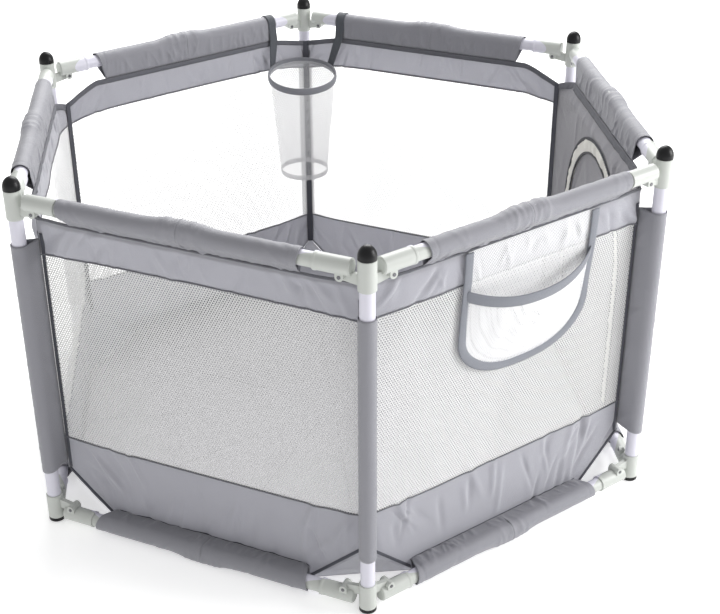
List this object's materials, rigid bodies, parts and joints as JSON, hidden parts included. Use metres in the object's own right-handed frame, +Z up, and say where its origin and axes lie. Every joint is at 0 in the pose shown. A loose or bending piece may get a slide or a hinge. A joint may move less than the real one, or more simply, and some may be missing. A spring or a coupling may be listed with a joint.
{
  "type": "folding playpen",
  "caption": "Six-sided folding playpen: tubular frame with hinged rails, gray fabric and mesh walls, arched zipped door, storage pocket and a ball hoop with net.",
  "frame": {"origin": "on the floor, at the centre of the six posts", "axes": "+Z up; +Y along the longest extent, from the front post a towards the back post d; +X to the right, square to the door panel"},
  "size_m": [1.1224, 1.2912, 0.6895],
  "materials": {
    "post_tube": "white powder coat",
    "rail": "white powder coat with white moulded ends",
    "fitting_plastic": "moulded plastic",
    "pin_steel": "plated",
    "black_rubber": "moulded",
    "wall_fabric": "woven fabric bands and mesh",
    "floor_fabric": "woven fabric",
    "door_fabric": "woven fabric",
    "pocket_mesh": "open mesh with woven binding",
    "hoop_net": "sheer net with woven binding",
    "strap_webbing": "woven webbing"
  },
  "bodies": {
    "post_a": {"post_a_tube": "post_tube", "post_a_fittings": "fitting_plastic", "post_a_pins": "pin_steel", "post_a_cap_and_foot": "black_rubber", "wall_ab": "wall_fabric", "floor": "floor_fabric"},
    "top_ab_near": {"top_rail_ab_near": "rail"},
    "top_ab_far": {"top_rail_ab_far": "rail"},
    "bottom_ab_near": {"bottom_rail_ab_near": "rail"},
    "bottom_ab_far": {"bottom_rail_ab_far": "rail"},
    "post_b": {"post_b_tube": "post_tube", "post_b_fittings": "fitting_plastic", "post_b_pins": "pin_steel", "post_b_cap_and_foot": "black_rubber", "wall_bc": "wall_fabric"},
    "top_bc_near": {"top_rail_bc_near": "rail"},
    "top_bc_far": {"top_rail_bc_far": "rail"},
    "bottom_bc_near": {"bottom_rail_bc_near": "rail"},
    "bottom_bc_far": {"bottom_rail_bc_far": "rail"},
    "post_c": {"post_c_tube": "post_tube", "post_c_fittings": "fitting_plastic", "post_c_pins": "pin_steel", "post_c_cap_and_foot": "black_rubber", "wall_cd": "wall_fabric"},
    "top_cd_near": {"top_rail_cd_near": "rail"},
    "top_cd_far": {"top_rail_cd_far": "rail"},
    "bottom_cd_near": {"bottom_rail_cd_near": "rail"},
    "bottom_cd_far": {"bottom_rail_cd_far": "rail"},
    "post_d": {"post_d_tube": "post_tube", "post_d_fittings": "fitting_plastic", "post_d_pins": "pin_steel", "post_d_cap_and_foot": "black_rubber", "wall_de": "wall_fabric", "hoop": "hoop_net", "hoop_straps": "strap_webbing"},
    "top_de_near": {"top_rail_de_near": "rail"},
    "top_de_far": {"top_rail_de_far": "rail"},
    "bottom_de_near": {"bottom_rail_de_near": "rail"},
    "bottom_de_far": {"bottom_rail_de_far": "rail"},
    "post_e": {"post_e_tube": "post_tube", "post_e_fittings": "fitting_plastic", "post_e_pins": "pin_steel", "post_e_cap_and_foot": "black_rubber", "wall_ef": "wall_fabric", "wall_ef_sleeves": "wall_fabric"},
    "top_ef_near": {"top_rail_ef_near": "rail"},
    "top_ef_far": {"top_rail_ef_far": "rail"},
    "bottom_ef_near": {"bottom_rail_ef_near": "rail"},
    "bottom_ef_far": {"bottom_rail_ef_far": "rail"},
    "post_f": {"post_f_tube": "post_tube", "post_f_fittings": "fitting_plastic", "post_f_pins": "pin_steel", "post_f_cap_and_foot": "black_rubber", "wall_fa": "wall_fabric", "pocket": "pocket_mesh"},
    "top_fa_near": {"top_rail_fa_near": "rail"},
    "top_fa_far": {"top_rail_fa_far": "rail"},
    "bottom_fa_near": {"bottom_rail_fa_near": "rail"},
    "bottom_fa_far": {"bottom_rail_fa_far": "rail"},
    "door_flap": {"door_flap": "door_fabric"}
  },
  "joints": [
    {"name": "frame_fold", "type": "hinge", "parent": "post_a", "child": "top_ab_near", "pos_m": [-0.03551, -0.6095, 0.633], "axis": [-0.5, -0.866, 0], "range_deg": [0, 85], "deforming": ["wall_ab", "wall_bc", "wall_cd", "wall_de", "wall_ef", "wall_fa", "wall_ef_sleeves", "floor", "pocket", "hoop_straps", "door_flap"]},
    {"name": "top_ab_centre_pivot", "type": "hinge", "parent": "top_ab_near", "child": "top_ab_far", "pos_m": [-0.2728, -0.4725, 0.663], "axis": [-0.5, -0.866, 0], "range_deg": [-170, 0]},
    {"name": "top_ab_far_pivot", "type": "hinge", "parent": "top_ab_far", "child": "post_b", "pos_m": [-0.51009, -0.3355, 0.633], "axis": [-0.5, -0.866, 0], "range_deg": [0, 85]},
    {"name": "top_bc_near_pivot", "type": "hinge", "parent": "post_b", "child": "top_bc_near", "pos_m": [-0.5456, -0.274, 0.633], "axis": [-1, 0, 0], "range_deg": [0, 85]},
    {"name": "top_bc_centre_pivot", "type": "hinge", "parent": "top_bc_near", "child": "top_bc_far", "pos_m": [-0.5456, 0, 0.663], "axis": [-1, 0, 0], "range_deg": [-170, 0]},
    {"name": "top_bc_far_pivot", "type": "hinge", "parent": "top_bc_far", "child": "post_c", "pos_m": [-0.5456, 0.274, 0.633], "axis": [-1, 0, 0], "range_deg": [0, 85]},
    {"name": "top_cd_near_pivot", "type": "hinge", "parent": "post_c", "child": "top_cd_near", "pos_m": [-0.51009, 0.3355, 0.633], "axis": [-0.5, 0.866, 0], "range_deg": [0, 85]},
    {"name": "top_cd_centre_pivot", "type": "hinge", "parent": "top_cd_near", "child": "top_cd_far", "pos_m": [-0.2728, 0.4725, 0.663], "axis": [-0.5, 0.866, 0], "range_deg": [-170, 0]},
    {"name": "top_cd_far_pivot", "type": "hinge", "parent": "top_cd_far", "child": "post_d", "pos_m": [-0.03551, 0.6095, 0.633], "axis": [-0.5, 0.866, 0], "range_deg": [0, 85]},
    {"name": "top_fa_far_pivot", "type": "hinge", "parent": "post_a", "child": "top_fa_far", "pos_m": [0.03551, -0.6095, 0.633], "axis": [-0.5, 0.866, 0], "range_deg": [0, 85]},
    {"name": "top_fa_centre_pivot", "type": "hinge", "parent": "top_fa_far", "child": "top_fa_near", "pos_m": [0.2728, -0.4725, 0.663], "axis": [-0.5, 0.866, 0], "range_deg": [-170, 0]},
    {"name": "top_fa_near_pivot", "type": "hinge", "parent": "top_fa_near", "child": "post_f", "pos_m": [0.51009, -0.3355, 0.633], "axis": [-0.5, 0.866, 0], "range_deg": [0, 85]},
    {"name": "top_ef_far_pivot", "type": "hinge", "parent": "post_f", "child": "top_ef_far", "pos_m": [0.5456, -0.274, 0.633], "axis": [-1, 0, 0], "range_deg": [0, 85]},
    {"name": "top_ef_centre_pivot", "type": "hinge", "parent": "top_ef_far", "child": "top_ef_near", "pos_m": [0.5456, 0, 0.663], "axis": [-1, 0, 0], "range_deg": [-170, 0]},
    {"name": "top_ef_near_pivot", "type": "hinge", "parent": "top_ef_near", "child": "post_e", "pos_m": [0.5456, 0.274, 0.633], "axis": [-1, 0, 0], "range_deg": [0, 85]},
    {"name": "top_de_near_pivot", "type": "hinge", "parent": "post_d", "child": "top_de_near", "pos_m": [0.03551, 0.6095, 0.633], "axis": [0.5, 0.866, 0], "range_deg": [0, 85]},
    {"name": "top_de_far_pivot", "type": "hinge", "parent": "post_e", "child": "top_de_far", "pos_m": [0.51009, 0.3355, 0.633], "axis": [-0.5, -0.866, 0], "range_deg": [0, 85]},
    {"name": "bottom_ab_near_pivot", "type": "hinge", "parent": "post_a", "child": "bottom_ab_near", "pos_m": [-0.03551, -0.6095, 0.036], "axis": [-0.5, -0.866, 0], "range_deg": [-85, 0]},
    {"name": "bottom_ab_far_pivot", "type": "hinge", "parent": "post_b", "child": "bottom_ab_far", "pos_m": [-0.51009, -0.3355, 0.036], "axis": [0.5, 0.866, 0], "range_deg": [-85, 0]},
    {"name": "bottom_bc_near_pivot", "type": "hinge", "parent": "post_b", "child": "bottom_bc_near", "pos_m": [-0.5456, -0.274, 0.036], "axis": [-1, 0, 0], "range_deg": [-85, 0]},
    {"name": "bottom_bc_far_pivot", "type": "hinge", "parent": "post_c", "child": "bottom_bc_far", "pos_m": [-0.5456, 0.274, 0.036], "axis": [1, 0, 0], "range_deg": [-85, 0]},
    {"name": "bottom_cd_near_pivot", "type": "hinge", "parent": "post_c", "child": "bottom_cd_near", "pos_m": [-0.51009, 0.3355, 0.036], "axis": [-0.5, 0.866, 0], "range_deg": [-85, 0]},
    {"name": "bottom_cd_far_pivot", "type": "hinge", "parent": "post_d", "child": "bottom_cd_far", "pos_m": [-0.03551, 0.6095, 0.036], "axis": [0.5, -0.866, 0], "range_deg": [-85, 0]},
    {"name": "bottom_de_near_pivot", "type": "hinge", "parent": "post_d", "child": "bottom_de_near", "pos_m": [0.03551, 0.6095, 0.036], "axis": [0.5, 0.866, 0], "range_deg": [-85, 0]},
    {"name": "bottom_de_far_pivot", "type": "hinge", "parent": "post_e", "child": "bottom_de_far", "pos_m": [0.51009, 0.3355, 0.036], "axis": [-0.5, -0.866, 0], "range_deg": [-85, 0]},
    {"name": "bottom_ef_near_pivot", "type": "hinge", "parent": "post_e", "child": "bottom_ef_near", "pos_m": [0.5456, 0.274, 0.036], "axis": [1, 0, 0], "range_deg": [-85, 0]},
    {"name": "bottom_ef_far_pivot", "type": "hinge", "parent": "post_f", "child": "bottom_ef_far", "pos_m": [0.5456, -0.274, 0.036], "axis": [-1, 0, 0], "range_deg": [-85, 0]},
    {"name": "bottom_fa_near_pivot", "type": "hinge", "parent": "post_f", "child": "bottom_fa_near", "pos_m": [0.51009, -0.3355, 0.036], "axis": [0.5, -0.866, 0], "range_deg": [-85, 0]},
    {"name": "bottom_fa_far_pivot", "type": "hinge", "parent": "post_a", "child": "bottom_fa_far", "pos_m": [0.03551, -0.6095, 0.036], "axis": [-0.5, 0.866, 0], "range_deg": [-85, 0]},
    {"name": "door_flap_hinge", "type": "hinge", "parent": "post_e", "child": "door_flap", "pos_m": [0.5162, -0.025, 0.11], "axis": [0, 1, 0], "range_deg": [0, 100]}
  ],
  "couplings": [
    {"joint": "top_ab_centre_pivot", "follows": "frame_fold", "ratio": -2},
    {"joint": "top_ab_far_pivot", "follows": "frame_fold", "ratio": 1},
    {"joint": "top_bc_near_pivot", "follows": "frame_fold", "ratio": 1},
    {"joint": "top_bc_centre_pivot", "follows": "frame_fold", "ratio": -2},
    {"joint": "top_bc_far_pivot", "follows": "frame_fold", "ratio": 1},
    {"joint": "top_cd_near_pivot", "follows": "frame_fold", "ratio": 1},
    {"joint": "top_cd_centre_pivot", "follows": "frame_fold", "ratio": -2},
    {"joint": "top_cd_far_pivot", "follows": "frame_fold", "ratio": 1},
    {"joint": "top_fa_far_pivot", "follows": "frame_fold", "ratio": 1},
    {"joint": "top_fa_centre_pivot", "follows": "frame_fold", "ratio": -2},
    {"joint": "top_fa_near_pivot", "follows": "frame_fold", "ratio": 1},
    {"joint": "top_ef_far_pivot", "follows": "frame_fold", "ratio": 1},
    {"joint": "top_ef_centre_pivot", "follows": "frame_fold", "ratio": -2},
    {"joint": "top_ef_near_pivot", "follows": "frame_fold", "ratio": 1},
    {"joint": "top_de_near_pivot", "follows": "frame_fold", "ratio": 1},
    {"joint": "top_de_far_pivot", "follows": "frame_fold", "ratio": 1},
    {"joint": "bottom_ab_near_pivot", "follows": "frame_fold", "ratio": -1},
    {"joint": "bottom_ab_far_pivot", "follows": "frame_fold", "ratio": -1},
    {"joint": "bottom_bc_near_pivot", "follows": "frame_fold", "ratio": -1},
    {"joint": "bottom_bc_far_pivot", "follows": "frame_fold", "ratio": -1},
    {"joint": "bottom_cd_near_pivot", "follows": "frame_fold", "ratio": -1},
    {"joint": "bottom_cd_far_pivot", "follows": "frame_fold", "ratio": -1},
    {"joint": "bottom_de_near_pivot", "follows": "frame_fold", "ratio": -1},
    {"joint": "bottom_de_far_pivot", "follows": "frame_fold", "ratio": -1},
    {"joint": "bottom_ef_near_pivot", "follows": "frame_fold", "ratio": -1},
    {"joint": "bottom_ef_far_pivot", "follows": "frame_fold", "ratio": -1},
    {"joint": "bottom_fa_near_pivot", "follows": "frame_fold", "ratio": -1},
    {"joint": "bottom_fa_far_pivot", "follows": "frame_fold", "ratio": -1}
  ]
}
